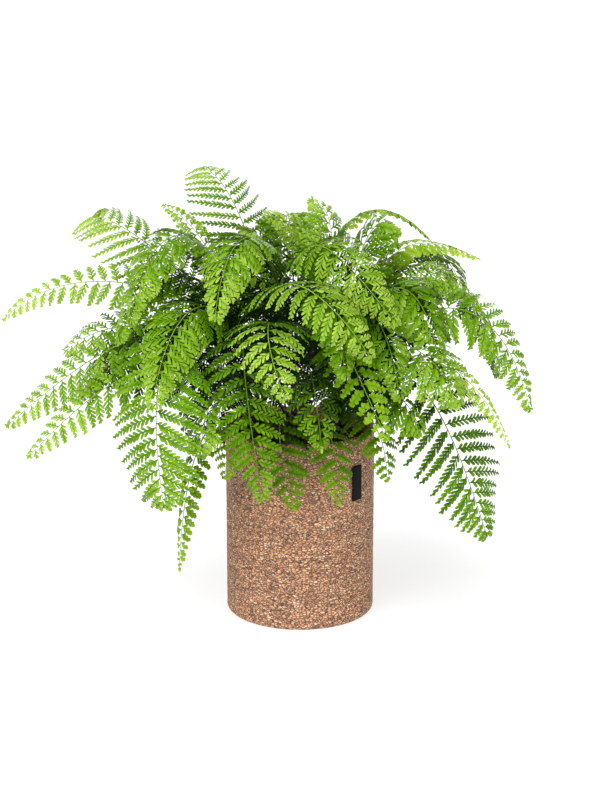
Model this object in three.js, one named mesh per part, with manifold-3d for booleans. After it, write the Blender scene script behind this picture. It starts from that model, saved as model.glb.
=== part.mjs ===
// A potted Parvati spleenwort: a fern whose arching fronds grow from five crowns in one round planter.
// Millimetres, +Z up. The origin is the centre of the planter's foot, and -Y is the front.
import * as THREE from "three";
import { mergeVertices } from "three/addons/utils/BufferGeometryUtils.js";
import Module from "manifold-3d";

const wasm = await Module();
wasm.setup();

// Driving dimensions of the planter and what fills it
const POT_RADIUS = 100;
const POT_HEIGHT = 255;
const WALL = 7;
const FLOOR = 10;
const FOOT_ROUND = 6;
const RIM_ROUND = 2.5;
const ROUND_STEPS = 3;
const POT_SIDES = 36;
const SOIL_TOP = POT_HEIGHT - 14;
const SOIL_SIDE_DROP = 4;
const GAP = 0.3;

// The plain plate on the planter's wall, and where round the wall it sits
const PLATE_WIDTH = 18;
const PLATE_HEIGHT = 47;
const PLATE_THICKNESS = 1.2;
const PLATE_TOP = POT_HEIGHT - 37;
const PLATE_TURN = THREE.MathUtils.degToRad(-42);
const PLATE_SIDES = 4;

// The rhizomes: short stubs that stand a little out of the soil
const RHIZOME_RADIUS = 15;
const RHIZOME_ABOVE = 11;
const RHIZOME_BELOW = 26;
const RHIZOME_SIDES = 10;
const CROWNS = {
  middle: [0, 8],
  left: [-44, -10],
  right: [44, -6],
  front: [2, -44],
  back: [-4, 52],
};

// The stipe, the dark stalk below the leafy blade
const STIPE_START = 7;
const STIPE_RADIUS = 1.7;
const STIPE_SIDES = 5;
const STIPE_STEPS = 3;
const STIPE_SINK = 3;

// The blade: a rib with leaflets cut to it on both sides. Its thickness is never under 0.6 mm.
const RIB_HALF_WIDTH = 1.5;
const RIB_HALF_THICKNESS = 0.7;
const LEAFLET_HALF_THICKNESS = 0.32;
const KINDS = {
  fine: { share: 0.27, leaflet: 66, pitch: 30, colour: 0x6f9e2a },
  broad: { share: 0.2, leaflet: 46, pitch: 26, colour: 0x5b8f25 },
  young: { share: 0.28, leaflet: 30, pitch: 23, colour: 0x93bb3f },
};

// The fronds: crown, tip [x, y, z], height of the crest, and then only what differs from the usual frond.
// lean and hang say how far out, as shares of the reach, the stalk's and the tip's own pulls stand.
const USUAL = { kind: "fine", lean: 0.2, hang: 0.82, bow: 0, roll: 0, fold: -14, width: 1, taper: 2.2 };
const FRONDS = [
  // The ones that give the plant its outline and its face
  ["front", [-18, -250, 357], 428, { lean: 0.14, hang: 0.92, bow: -46 }],
  ["left", [-33, -200, 215], 412, { lean: 0.25, hang: 0.84, bow: -44 }],
  ["right", [106, -200, 292], 398, { kind: "broad", lean: 0.28, hang: 0.82, bow: -60, roll: 12 }],
  ["left", [-391, 0, 398], 444, { lean: 0.12, hang: 0.76, roll: -50, width: 0.6 }],
  ["middle", [-273, 140, 502], 500, { lean: 0.54, hang: 1.06, bow: 73, roll: -20, taper: 4 }],
  ["back", [-145, 215, 570], 538, { lean: 0.4, hang: 0.82, bow: 11, roll: -8, taper: 4 }],
  ["right", [16, 80, 546], 496, { lean: 0.3, hang: 0.82, bow: -30, roll: 18 }],
  ["right", [-46, 30, 533], 478, { lean: 0.12, hang: 0.6, bow: -90, roll: -20, width: 0.8 }],
  ["middle", [-308, -20, 374], 416, { lean: 0.26, hang: 0.8, roll: -36 }],
  ["back", [192, 50, 482], 532, { kind: "young", lean: 0.04, hang: 0.62, bow: 30, width: 0.7 }],
  ["front", [27, -170, 278], 372, { lean: 0.22, hang: 0.88, bow: -10, width: 0.75 }],
  // Between and beside them
  ["front", [-8, -142, 184], 292, { kind: "broad", hang: 0.92, bow: -36 }],
  ["front", [50, -141, 190], 282, { kind: "broad", hang: 0.92, width: 0.8 }],
  ["right", [112, -112, 212], 288, { kind: "broad", hang: 0.9, width: 0.9 }],
  ["middle", [118, -165, 428], 512, { lean: 0.1, hang: 0.74, bow: -96, roll: 20 }],
  ["left", [86, -215, 396], 476, { lean: 0.02, hang: 1.08, bow: -104, roll: 8 }],
  ["left", [-31, -110, 462], 494, { lean: 0.2, hang: 0.88, bow: -120, width: 0.7 }],
  ["right", [240, -130, 136], 330, { lean: 0.44, hang: 0.72, bow: -60, roll: 24, fold: -4, width: 1.1, taper: 3 }],
  ["right", [298, -70, 293], 423, { lean: 0.29, hang: 0.81, roll: 38, width: 0.72, taper: 2.6 }],
  ["front", [267, -118, 258], 362, { kind: "young", lean: 0.46, hang: 0.74, roll: 30, width: 0.8 }],
  ["right", [241, 60, 469], 474, { kind: "young", lean: 0.22, hang: 0.52, bow: 44, roll: 20 }],
  ["right", [233, 0, 425], 456, { lean: 0.08, hang: 0.62, roll: 22, width: 0.9, taper: 2.6 }],
  ["right", [200, -140, 322], 386, { lean: 0.2, hang: 0.78, bow: -26, roll: 16, width: 1.1, taper: 3 }],
  ["middle", [-186, 96, 536], 498, { kind: "young", lean: 0.62, hang: 0.85, bow: 12, roll: -40 }],
  ["left", [-214, -60, 484], 474, { lean: 0.42, hang: 0.9, roll: -20, width: 0.55 }],
  ["left", [-382, -62, 256], 358, { lean: 0.3, hang: 0.46, bow: 26, roll: -42, width: 0.75 }],
  ["left", [-345, -128, 248], 350, { lean: 0.38, hang: 0.56, bow: 20, roll: -34, width: 0.7 }],
  ["left", [-169, -190, 194], 384, { lean: 0.42, hang: 0.94, bow: -50, roll: -8, fold: -4, taper: 6 }],
  ["left", [-157, -112, 90], 276, { kind: "young", lean: 0.34, hang: 0.86, width: 0.8 }],
  ["left", [-165, -170, 402], 476, { roll: -12 }],
  ["right", [172, -112, 330], 424, { roll: 18, width: 0.9 }],
  ["left", [-123, -190, 286], 380, { roll: -6 }],
  ["middle", [123, -170, 334], 440, { roll: 14, width: 0.8 }],
  ["left", [-236, -96, 392], 470, { roll: -20, width: 0.8 }],
  ["front", [158, -150, 318], 396, { roll: 16, taper: 3 }],
  ["left", [-224, -140, 312], 410, { roll: -20, width: 0.9 }],
  ["middle", [-103, -190, 426], 492, { roll: -8 }],
  ["left", [-292, -60, 320], 416, { roll: -30, width: 0.8 }],
  ["right", [196, -20, 396], 478, { roll: 22 }],
  ["middle", [-77, -40, 498], 500, { lean: 0.3, hang: 0.8, roll: -10 }],
  ["right", [131, 10, 494], 510, { lean: 0.1, hang: 0.8, roll: 16 }],
  ["left", [-96, -116, 224], 306, { kind: "broad" }],
  ["front", [54, -205, 350], 424, { width: 0.9 }],
];

// The back of the plant, which fills up evenly: rings of fronds from one side round to the other
const BACK_RINGS = [
  { crown: ["right", "back", "left"], from: 24, to: 158, count: 4, reach: 306, tip: 276, crest: 410 },
  { crown: ["right", "back"], from: 52, to: 96, count: 2, reach: 236, tip: 430, crest: 510 },
  { crown: ["right", "back", "left"], from: 60, to: 138, count: 3, reach: 158, tip: 208, crest: 336 },
];
const REACH_SPREAD = 0.12;
const TURN_SPREAD = 5;
const HEIGHT_SPREAD = 22;
const SEED = 20263;

// Where a frond crosses one before it, its tip swings round by degrees and its arch is lifted,
const SWINGS = [0, 4, -4, 8, -8, 12, -12, 16, -16, 20, -20];
const LIFTS = [0, 14, -14, 28, -28, 42, -42, -56];
// and a leaflet that still crosses one before it is cut back to one of these shares of its length
const TRIMS = [0.75, 0.5, 0.3, 0.16];
const TRIM_ROUNDS = 6;
const FEW_TRIMS = 6;

// Even draws from 0 to 1, the same each time
function drawsFrom(seed) {
  let state = seed;
  return () => {
    state = (state * 16807) % 2147483647;
    return state / 2147483647;
  };
}

function backRows() {
  const draw = drawsFrom(SEED);
  const around = (spread) => (draw() * 2 - 1) * spread;
  return BACK_RINGS.flatMap((ring) =>
    Array.from({ length: ring.count }, (_, i) => {
      const share = i / (ring.count - 1);
      const turn = ring.from + (ring.to - ring.from) * share + around(TURN_SPREAD);
      const angle = THREE.MathUtils.degToRad(turn);
      const reach = ring.reach * (1 + around(REACH_SPREAD));
      const drop = around(HEIGHT_SPREAD);
      const crown = ring.crown[Math.min(ring.crown.length - 1, Math.floor(share * ring.crown.length))];
      const tip = [reach * Math.cos(angle), reach * Math.sin(angle), ring.tip + drop];
      return [crown, tip, ring.crest + drop, { roll: around(12) }];
    }),
  );
}

// A solid from a three.js geometry, and a geometry from a solid
function solidFrom(geometry) {
  const bare = geometry.index ? geometry.toNonIndexed() : geometry.clone();
  bare.deleteAttribute("normal");
  bare.deleteAttribute("uv");
  const merged = mergeVertices(bare, 1e-4);
  return new wasm.Manifold(
    new wasm.Mesh({
      numProp: 3,
      vertProperties: merged.attributes.position.array,
      triVerts: new Uint32Array(merged.index.array),
    }),
  );
}

function geometryFrom(solid) {
  const { vertProperties, triVerts } = solid.getMesh();
  return new THREE.BufferGeometry()
    .setAttribute("position", new THREE.BufferAttribute(new Float32Array(vertProperties), 3))
    .setIndex(new THREE.BufferAttribute(new Uint32Array(triVerts), 1));
}

// A body turned round the vertical axis from an outline of [radius, height] points
function turned(outline, sides) {
  const points = outline.map(([radius, height]) => new THREE.Vector2(radius, height));
  return new THREE.LatheGeometry(points, sides).rotateX(Math.PI / 2);
}

// A quarter round from one angle to the next, as outline points
function roundOff(centreRadius, centreHeight, size, from, to) {
  return Array.from({ length: ROUND_STEPS + 1 }, (_, i) => {
    const angle = THREE.MathUtils.degToRad(from + ((to - from) * i) / ROUND_STEPS);
    return [centreRadius + size * Math.cos(angle), centreHeight + size * Math.sin(angle)];
  });
}

function planter() {
  const inside = POT_RADIUS - WALL;
  return turned(
    [
      [0, 0],
      ...roundOff(POT_RADIUS - FOOT_ROUND, FOOT_ROUND, FOOT_ROUND, -90, 0),
      ...roundOff(POT_RADIUS - RIM_ROUND, POT_HEIGHT - RIM_ROUND, RIM_ROUND, 0, 90),
      [inside, POT_HEIGHT],
      [inside, FLOOR],
      [0, FLOOR],
    ],
    POT_SIDES,
  );
}

// The plate follows the wall's curve: a few flat stretches, a gap off the wall's outer circle
function plate() {
  const inner = POT_RADIUS + GAP;
  const outer = inner + PLATE_THICKNESS;
  const half = PLATE_WIDTH / 2 / POT_RADIUS;
  const shape = new THREE.Shape();
  shape.absarc(0, 0, outer, PLATE_TURN - half, PLATE_TURN + half, false);
  shape.absarc(0, 0, inner, PLATE_TURN + half, PLATE_TURN - half, true);
  const extruded = new THREE.ExtrudeGeometry(shape, {
    depth: PLATE_HEIGHT,
    bevelEnabled: false,
    curveSegments: PLATE_SIDES,
  });
  return extruded.translate(0, 0, PLATE_TOP - PLATE_HEIGHT);
}

function rhizome([x, y], extra = 0) {
  const radius = RHIZOME_RADIUS + extra;
  return turned(
    [
      [0, SOIL_TOP - RHIZOME_BELOW - extra],
      [radius * 0.6, SOIL_TOP - RHIZOME_BELOW * 0.85 - extra],
      [radius, SOIL_TOP - RHIZOME_BELOW * 0.3],
      [radius * 0.92, SOIL_TOP + RHIZOME_ABOVE * 0.4],
      [radius * 0.55, SOIL_TOP + RHIZOME_ABOVE * 0.9],
      [0, SOIL_TOP + RHIZOME_ABOVE],
    ],
    RHIZOME_SIDES,
  ).translate(x, y, 0);
}

// The line of a frond: up out of its crown, over a crest, and down or out to its tip
function frondLine(row, swing, lift) {
  const [crown, tipPlace, crestHeight, changes] = row;
  const made = { ...USUAL, ...changes };
  const centre = new THREE.Vector3(...CROWNS[crown], 0);
  const tip = new THREE.Vector3(...tipPlace).sub(centre);
  tip.applyAxisAngle(new THREE.Vector3(0, 0, 1), THREE.MathUtils.degToRad(swing)).add(centre);
  tip.z += lift / 2;
  const crest = crestHeight + lift;
  const out = new THREE.Vector3(tip.x - centre.x, tip.y - centre.y, 0);
  const heading = out.clone().normalize();
  const start = centre.clone().addScaledVector(heading, STIPE_START);
  start.z = SOIL_TOP + STIPE_SINK;
  const rise = (crest - (start.z + tip.z) / 8) / 0.75;
  const side = new THREE.Vector3(-heading.y, heading.x, 0);
  const pull = (share, bow) => {
    const point = start.clone().addScaledVector(out, share).addScaledVector(side, bow);
    point.z = rise;
    return point;
  };
  const curve = new THREE.CubicBezierCurve3(
    start,
    pull(made.lean, made.bow / 2),
    pull(made.hang, made.bow),
    tip,
  );
  const length = curve.getLength();
  const pairs = Math.max(5, Math.round((length * (1 - KINDS[made.kind].share)) / KINDS[made.kind].pitch));
  return { ...made, crown, curve, side, length, pairs, trims: Array(pairs * 2).fill(1) };
}

// Place, forward, sideways and upward directions at a share of the frond's length.
// The roll grows from nothing at the crown to its full value half way along.
function frameAt(frond, share) {
  const place = frond.curve.getPointAt(share);
  const forward = frond.curve.getTangentAt(share);
  const flat = frond.side.clone().addScaledVector(forward, -frond.side.dot(forward)).normalize();
  const roll = THREE.MathUtils.degToRad(frond.roll) * THREE.MathUtils.smoothstep(share, 0, 0.5);
  const side = flat.applyAxisAngle(forward, roll);
  return { place, forward, side, up: forward.clone().cross(side) };
}

// How long a leaflet is, as a share of the longest, from the blade's foot (0) to its tip (1)
function leafletShare(along, taper) {
  return (0.45 + 0.55 * THREE.MathUtils.smoothstep(along, 0, 0.35)) * (1 - along ** taper) + 0.1;
}

// The leafy blade: both faces have the same triangles, and the leaflets meet only at the rib
function blade(frond) {
  const kind = KINDS[frond.kind];
  const foot = kind.share + GAP / frond.length;
  const { pairs } = frond;
  const positions = [];
  const outline = [];
  // Adds the upper and the lower vertex of a place, and returns the pair's number
  const vertex = (place, up, half) => {
    positions.push(...place.clone().addScaledVector(up, half), ...place.clone().addScaledVector(up, -half));
    return positions.length / 6 - 1;
  };
  const stations = Array.from({ length: pairs + 1 }, (_, i) => {
    const along = i / pairs;
    const frame = frameAt(frond, foot + (1 - foot) * along);
    const half = RIB_HALF_WIDTH * (1 - 0.6 * along);
    const thickness = RIB_HALF_THICKNESS + (LEAFLET_HALF_THICKNESS - RIB_HALF_THICKNESS) * along;
    const edge = (sign) =>
      vertex(frame.place.clone().addScaledVector(frame.side, sign * half), frame.up, thickness);
    return { along, frame, edges: [edge(1), edge(-1)] };
  });
  // Adds one leaflet of the four corners foot, point, shoulder, neck, and its three outer edges
  const faces = [];
  const upperFace = (a, b, c) => faces.push([a, b, c]);
  const leaflet = (from, to, hand, number) => {
    const sign = hand === 0 ? 1 : -1;
    const along = (from.along + to.along) / 2;
    const { forward, side, up } = frameAt(frond, foot + (1 - foot) * along);
    const reach = kind.leaflet * frond.width * leafletShare(along, frond.taper) * frond.trims[number];
    const fold = THREE.MathUtils.degToRad(frond.fold);
    const splay = THREE.MathUtils.degToRad(86 - 24 * along);
    const outward = side.clone().multiplyScalar(sign * Math.cos(fold)).addScaledVector(up, Math.sin(fold));
    const direction = outward.multiplyScalar(Math.sin(splay)).addScaledVector(forward, Math.cos(splay));
    const lean = up.clone().multiplyScalar(Math.cos(fold)).addScaledVector(side, -sign * Math.sin(fold));
    const root = from.frame.place.clone().lerp(to.frame.place, 0.5);
    const pitch = from.frame.place.distanceTo(to.frame.place);
    const point = vertex(
      root.clone().addScaledVector(direction, reach).addScaledVector(lean, -reach * 0.1),
      lean,
      LEAFLET_HALF_THICKNESS,
    );
    const shoulder = vertex(
      root.clone().addScaledVector(direction, reach * 0.42).addScaledVector(forward, pitch * 0.42),
      lean,
      LEAFLET_HALF_THICKNESS,
    );
    const near = from.edges[hand];
    const far = to.edges[hand];
    if (hand === 0) {
      upperFace(near, shoulder, point);
      upperFace(near, far, shoulder);
      outline.push([near, point], [point, shoulder], [shoulder, far]);
    } else {
      upperFace(near, point, shoulder);
      upperFace(near, shoulder, far);
      outline.push([point, near], [shoulder, point], [far, shoulder]);
    }
  };
  stations.slice(1).forEach((to, i) => {
    const from = stations[i];
    upperFace(from.edges[1], to.edges[1], to.edges[0]);
    upperFace(from.edges[1], to.edges[0], from.edges[0]);
    leaflet(from, to, 0, i * 2);
    leaflet(from, to, 1, i * 2 + 1);
  });
  const first = stations[0].edges;
  const last = stations[pairs].edges;
  outline.push([first[1], first[0]], [last[0], last[1]]);
  // An upper vertex is at twice its pair's number, and the lower one follows it
  const triangles = [];
  faces.forEach(([a, b, c]) => triangles.push(2 * a, 2 * b, 2 * c, 2 * a + 1, 2 * c + 1, 2 * b + 1));
  outline.forEach(([a, b]) => triangles.push(2 * a, 2 * b, 2 * b + 1, 2 * a, 2 * b + 1, 2 * a + 1));
  return new THREE.BufferGeometry()
    .setAttribute("position", new THREE.BufferAttribute(new Float32Array(positions), 3))
    .setIndex(triangles);
}

// The lower stretch of the frond's line, as a curve of its own
class StipeLine extends THREE.Curve {
  constructor(frond) {
    super();
    this.frond = frond;
  }
  getPoint(share, target = new THREE.Vector3()) {
    return target.copy(this.frond.curve.getPointAt(share * KINDS[this.frond.kind].share));
  }
}

function stipe(frond) {
  const section = new THREE.Shape();
  Array.from({ length: STIPE_SIDES }, (_, i) => {
    const angle = (2 * Math.PI * i) / STIPE_SIDES;
    const [x, y] = [STIPE_RADIUS * Math.cos(angle), STIPE_RADIUS * Math.sin(angle)];
    return i === 0 ? section.moveTo(x, y) : section.lineTo(x, y);
  });
  return new THREE.ExtrudeGeometry(section, {
    steps: STIPE_STEPS,
    extrudePath: new StipeLine(frond),
    bevelEnabled: false,
  });
}

// The places where two solids cross, or none where they share no more than a speck
function crossing(a, b) {
  const common = a.intersect(b);
  const crossed = common.volume() > 0.002;
  const places = crossed ? Array.from(common.getMesh().vertProperties) : [];
  common.delete();
  return places;
}

const soilBlock = turned(
  [
    [0, FLOOR + GAP],
    [POT_RADIUS - WALL - GAP, FLOOR + GAP],
    [POT_RADIUS - WALL - GAP, SOIL_TOP - SOIL_SIDE_DROP],
    [0, SOIL_TOP],
  ],
  POT_SIDES,
);
const vessel = [planter(), plate()].map(solidFrom);
const ground = [soilBlock, ...Object.values(CROWNS).map((place) => rhizome(place))].map(solidFrom);

// Cuts back the leaflets nearest to the places, each to a length that ends before them.
// Says false where a place is too near the rib for that.
function trimmed(frond, places) {
  const kind = KINDS[frond.kind];
  const spines = frond.trims.map((trim, number) => {
    const along = (Math.floor(number / 2) + 0.5) / frond.pairs;
    const { place, side } = frameAt(frond, kind.share + (1 - kind.share) * along);
    const reach = kind.leaflet * frond.width * leafletShare(along, frond.taper) * (number % 2 === 0 ? 1 : -1);
    return new THREE.Line3(place, place.clone().addScaledVector(side, reach));
  });
  const nearest = new THREE.Vector3();
  const free = spines.map(() => Infinity);
  for (let i = 0; i < places.length; i += 3) {
    const spot = new THREE.Vector3(...places.slice(i, i + 3));
    const distances = spines.map((spine) => spine.closestPointToPoint(spot, true, nearest).distanceTo(spot));
    const number = distances.indexOf(Math.min(...distances));
    free[number] = Math.min(free[number], spines[number].closestPointToPointParameter(spot, true));
  }
  return free.every((length, number) => {
    if (length === Infinity) return true;
    frond.trims[number] = TRIMS.find((trim) => trim < Math.min(length, frond.trims[number])) ?? 0;
    return frond.trims[number] > 0;
  });
}

// The frond in one bend, with the leaflets cut back that must be, or nothing where that does not clear it
function placed(row, swing, lift, standing) {
  const frond = frondLine(row, swing, lift);
  const stalk = solidFrom(stipe(frond));
  const stalkBlocked =
    vessel.some((body) => crossing(stalk, body).length) ||
    standing.some(
      (other) =>
        crossing(stalk, other.leaf).length ||
        (other.frond.crown !== frond.crown && crossing(stalk, other.stalk).length),
    );
  if (stalkBlocked) return null;
  const others = [...vessel, ...ground, ...standing.flatMap((other) => [other.leaf, other.stalk])];
  for (let round = 0; round < TRIM_ROUNDS; round += 1) {
    const leaf = solidFrom(blade(frond));
    const places = others.flatMap((other) => crossing(leaf, other));
    const cuts = frond.trims.filter((trim) => trim < 1).length;
    if (!places.length) return { frond, leaf, stalk, swing, lift, cuts };
    leaf.delete();
    if (!trimmed(frond, places)) return null;
  }
  return null;
}

// The frond in the least bend that needs few cuts, or else in the bend with the fewest
function bentClear(row, standing) {
  const bends = SWINGS.flatMap((swing) => LIFTS.map((lift) => [swing, lift]));
  const effort = ([swing, lift]) => Math.abs(swing) / 4 + Math.abs(lift) / 14;
  bends.sort((a, b) => effort(a) - effort(b));
  let best = null;
  for (const [swing, lift] of bends) {
    const found = placed(row, swing, lift, standing);
    if (found && (!best || found.cuts < best.cuts)) best = found;
    if (best && best.cuts <= FEW_TRIMS) break;
  }
  if (!best) throw new Error(`no bend is clear for the frond with its tip at ${row[1]}`);
  return best;
}

const standing = [];
[...FRONDS, ...backRows()].forEach((row) => standing.push(bentClear(row, standing)));

const part = new THREE.Group();

function add(name, geometry, color, roughness) {
  const material = new THREE.MeshStandardMaterial({ color, roughness, metalness: 0 });
  const mesh = new THREE.Mesh(geometry, material);
  mesh.name = name;
  part.add(mesh);
}

add("planter", planter(), 0xb08a6c, 0.85);
add("plate", plate(), 0x1b1b1d, 0.5);

let soil = solidFrom(soilBlock);
for (const [name, place] of Object.entries(CROWNS)) {
  soil = soil.subtract(solidFrom(rhizome(place, GAP)));
  const stalks = standing.filter(({ frond }) => frond.crown === name).map(({ stalk }) => stalk);
  const crown = stalks.reduce((whole, stalk) => whole.add(stalk), solidFrom(rhizome(place)));
  add(`crown_${name}`, geometryFrom(crown), 0x2b2118, 0.5);
}
add("soil", geometryFrom(soil), 0x3a2b20, 0.95);

standing.forEach(({ frond, leaf }, i) => {
  const number = String(i + 1).padStart(2, "0");
  add(`frond_${number}`, geometryFrom(leaf), KINDS[frond.kind].colour, 0.55);
});

export default part;
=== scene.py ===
"""A Parvati spleenwort in a straight stone-chip planter, on a pale floor under soft studio light.

Shapes are worked out in millimetres, as whole arrays, and become metres when a mesh is made.
The fronds follow the same lines as the solids, each in the bend that its solid has.
"""

import math
from types import SimpleNamespace

import bpy
import numpy as np
from mathutils import Matrix


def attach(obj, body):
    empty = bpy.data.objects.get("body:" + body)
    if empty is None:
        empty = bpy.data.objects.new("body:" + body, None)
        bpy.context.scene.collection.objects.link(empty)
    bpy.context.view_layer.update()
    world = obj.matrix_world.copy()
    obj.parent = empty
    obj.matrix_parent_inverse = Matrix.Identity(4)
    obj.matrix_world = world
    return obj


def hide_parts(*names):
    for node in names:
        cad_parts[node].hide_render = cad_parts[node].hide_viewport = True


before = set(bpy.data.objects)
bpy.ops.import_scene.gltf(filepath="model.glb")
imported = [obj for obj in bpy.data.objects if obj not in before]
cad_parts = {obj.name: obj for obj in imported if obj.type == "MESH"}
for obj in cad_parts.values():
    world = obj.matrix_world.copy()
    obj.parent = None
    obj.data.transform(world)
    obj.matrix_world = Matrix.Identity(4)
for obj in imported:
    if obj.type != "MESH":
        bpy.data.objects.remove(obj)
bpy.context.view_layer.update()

# The planter and what stands in it, in millimetres
POT_RADIUS = 100
POT_HEIGHT = 255
WALL = 7
FLOOR = 10
FOOT_ROUND = 6
RIM_ROUND = 2.5
INNER_ROUND = 1.6
SOIL_TOP = POT_HEIGHT - 14
SOIL_SIDE_DROP = 4
GAP = 0.3
PLATE_WIDTH = 18
PLATE_HEIGHT = 47
PLATE_THICKNESS = 1.2
PLATE_TOP = POT_HEIGHT - 37
PLATE_TURN = math.radians(-42)
RHIZOME_RADIUS = 15
RHIZOME_ABOVE = 11
RHIZOME_BELOW = 26
STIPE_START = 7
STIPE_SINK = 3
STIPE_RADIUS = 1.5
# How deep the planter's wall is pressed in on average, the soil's crumbs, and the scales on each rhizome
DENT = 0.45
CRUMB_COUNT = 900
SCALE_COUNT = 260
CROWNS = {"middle": (0, 8), "left": (-44, -10), "right": (44, -6), "front": (2, -44), "back": (-4, 52)}

# share, leaflet and pitch shape the solid's blade. The rest shapes the living one: the distance between
# leaflets, between their lobes, a lobe's length, width and angle, and how pale the green is.
KINDS = {
    "fine": dict(
        share=0.27, leaflet=66, pitch=30, spacing=15.2, step=6.7, lobe=12, wide=3.2, angle=42, tone=0.57
    ),
    "broad": dict(
        share=0.2, leaflet=46, pitch=26, spacing=14.5, step=5.6, lobe=7.2, wide=5.6, angle=40, tone=0.5
    ),
    "young": dict(
        share=0.28, leaflet=30, pitch=23, spacing=12, step=5, lobe=8.2, wide=3.2, angle=42, tone=0.6
    ),
}
USUAL = dict(kind="fine", lean=0.2, hang=0.82, bow=0, roll=0, fold=-14, width=1, taper=2.2)

# Crown, tip, height of the crest, and what differs from the usual frond
FRONDS = [
    # The ones that give the plant its outline and its face
    ("front", (-18, -250, 357), 428, dict(lean=0.14, hang=0.92, bow=-46)),
    ("left", (-33, -200, 215), 412, dict(lean=0.25, hang=0.84, bow=-44)),
    ("right", (106, -200, 292), 398, dict(kind="broad", lean=0.28, hang=0.82, bow=-60, roll=12)),
    ("left", (-391, 0, 398), 444, dict(lean=0.12, hang=0.76, roll=-50, width=0.6)),
    ("middle", (-273, 140, 502), 500, dict(lean=0.54, hang=1.06, bow=73, roll=-20, taper=4)),
    ("back", (-145, 215, 570), 538, dict(lean=0.4, hang=0.82, bow=11, roll=-8, taper=4)),
    ("right", (16, 80, 546), 496, dict(lean=0.3, hang=0.82, bow=-30, roll=18)),
    ("right", (-46, 30, 533), 478, dict(lean=0.12, hang=0.6, bow=-90, roll=-20, width=0.8)),
    ("middle", (-308, -20, 374), 416, dict(lean=0.26, hang=0.8, roll=-36)),
    ("back", (192, 50, 482), 532, dict(kind="young", lean=0.04, hang=0.62, bow=30, width=0.7)),
    ("front", (27, -170, 278), 372, dict(lean=0.22, hang=0.88, bow=-10, width=0.75)),
    # Between and beside them
    ("front", (-8, -142, 184), 292, dict(kind="broad", hang=0.92, bow=-36)),
    ("front", (50, -141, 190), 282, dict(kind="broad", hang=0.92, width=0.8)),
    ("right", (112, -112, 212), 288, dict(kind="broad", hang=0.9, width=0.9)),
    ("middle", (118, -165, 428), 512, dict(lean=0.1, hang=0.74, bow=-96, roll=20)),
    ("left", (86, -215, 396), 476, dict(lean=0.02, hang=1.08, bow=-104, roll=8)),
    ("left", (-31, -110, 462), 494, dict(lean=0.2, hang=0.88, bow=-120, width=0.7)),
    (
        "right",
        (240, -130, 136),
        330,
        dict(lean=0.44, hang=0.72, bow=-60, roll=24, fold=-4, width=1.1, taper=3),
    ),
    ("right", (298, -70, 293), 423, dict(lean=0.29, hang=0.81, roll=38, width=0.72, taper=2.6)),
    ("front", (267, -118, 258), 362, dict(kind="young", lean=0.46, hang=0.74, roll=30, width=0.8)),
    ("right", (241, 60, 469), 474, dict(kind="young", lean=0.22, hang=0.52, bow=44, roll=20)),
    ("right", (233, 0, 425), 456, dict(lean=0.08, hang=0.62, roll=22, width=0.9, taper=2.6)),
    ("right", (200, -140, 322), 386, dict(lean=0.2, hang=0.78, bow=-26, roll=16, width=1.1, taper=3)),
    ("middle", (-186, 96, 536), 498, dict(kind="young", lean=0.62, hang=0.85, bow=12, roll=-40)),
    ("left", (-214, -60, 484), 474, dict(lean=0.42, hang=0.9, roll=-20, width=0.55)),
    ("left", (-382, -62, 256), 358, dict(lean=0.3, hang=0.46, bow=26, roll=-42, width=0.75)),
    ("left", (-345, -128, 248), 350, dict(lean=0.38, hang=0.56, bow=20, roll=-34, width=0.7)),
    ("left", (-169, -190, 194), 384, dict(lean=0.42, hang=0.94, bow=-50, roll=-8, fold=-4, taper=6)),
    ("left", (-157, -112, 90), 276, dict(kind="young", lean=0.34, hang=0.86, width=0.8)),
    ("left", (-165, -170, 402), 476, dict(roll=-12)),
    ("right", (172, -112, 330), 424, dict(roll=18, width=0.9)),
    ("left", (-123, -190, 286), 380, dict(roll=-6)),
    ("middle", (123, -170, 334), 440, dict(roll=14, width=0.8)),
    ("left", (-236, -96, 392), 470, dict(roll=-20, width=0.8)),
    ("front", (158, -150, 318), 396, dict(roll=16, taper=3)),
    ("left", (-224, -140, 312), 410, dict(roll=-20, width=0.9)),
    ("middle", (-103, -190, 426), 492, dict(roll=-8)),
    ("left", (-292, -60, 320), 416, dict(roll=-30, width=0.8)),
    ("right", (196, -20, 396), 478, dict(roll=22)),
    ("middle", (-77, -40, 498), 500, dict(lean=0.3, hang=0.8, roll=-10)),
    ("right", (131, 10, 494), 510, dict(lean=0.1, hang=0.8, roll=16)),
    ("left", (-96, -116, 224), 306, dict(kind="broad")),
    ("front", (54, -205, 350), 424, dict(width=0.9)),
]
BACK_RINGS = [
    dict(crown=("right", "back", "left"), start=24, end=158, count=4, reach=306, tip=276, crest=410),
    dict(crown=("right", "back"), start=52, end=96, count=2, reach=236, tip=430, crest=510),
    dict(crown=("right", "back", "left"), start=60, end=138, count=3, reach=158, tip=208, crest=336),
]
REACH_SPREAD = 0.12
TURN_SPREAD = 5
HEIGHT_SPREAD = 22
SEED = 20263
# The bends that a solid may have, by how its tip is swung in degrees and its crest lifted
SWINGS = (0, 4, -4, 8, -8, 12, -12, 16, -16, 20, -20)
LIFTS = (0, 14, -14, 28, -28, 42, -42, -56)
# How much paler a frond is than the others of its kind, by its number, and how far its rib is dark
# These are partly each frond's own green and partly painted light and shade: 18, hanging under the others, is
# darkened for its shade, and 14 and 42 are lifted out of the shade painted under cover
PALER = {
    1: 0.04, 2: 0.1, 3: 0.12, 4: 0.14, 5: 0.08, 6: 0.1, 7: 0.06, 8: 0.1, 11: 0.1, 13: 0.1, 14: 0.22,
    15: 0.06, 16: 0.08, 17: 0.08, 18: -0.1, 19: -0.06, 28: -0.02, 29: 0.12, 32: 0.04, 42: 0.3,
}
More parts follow.
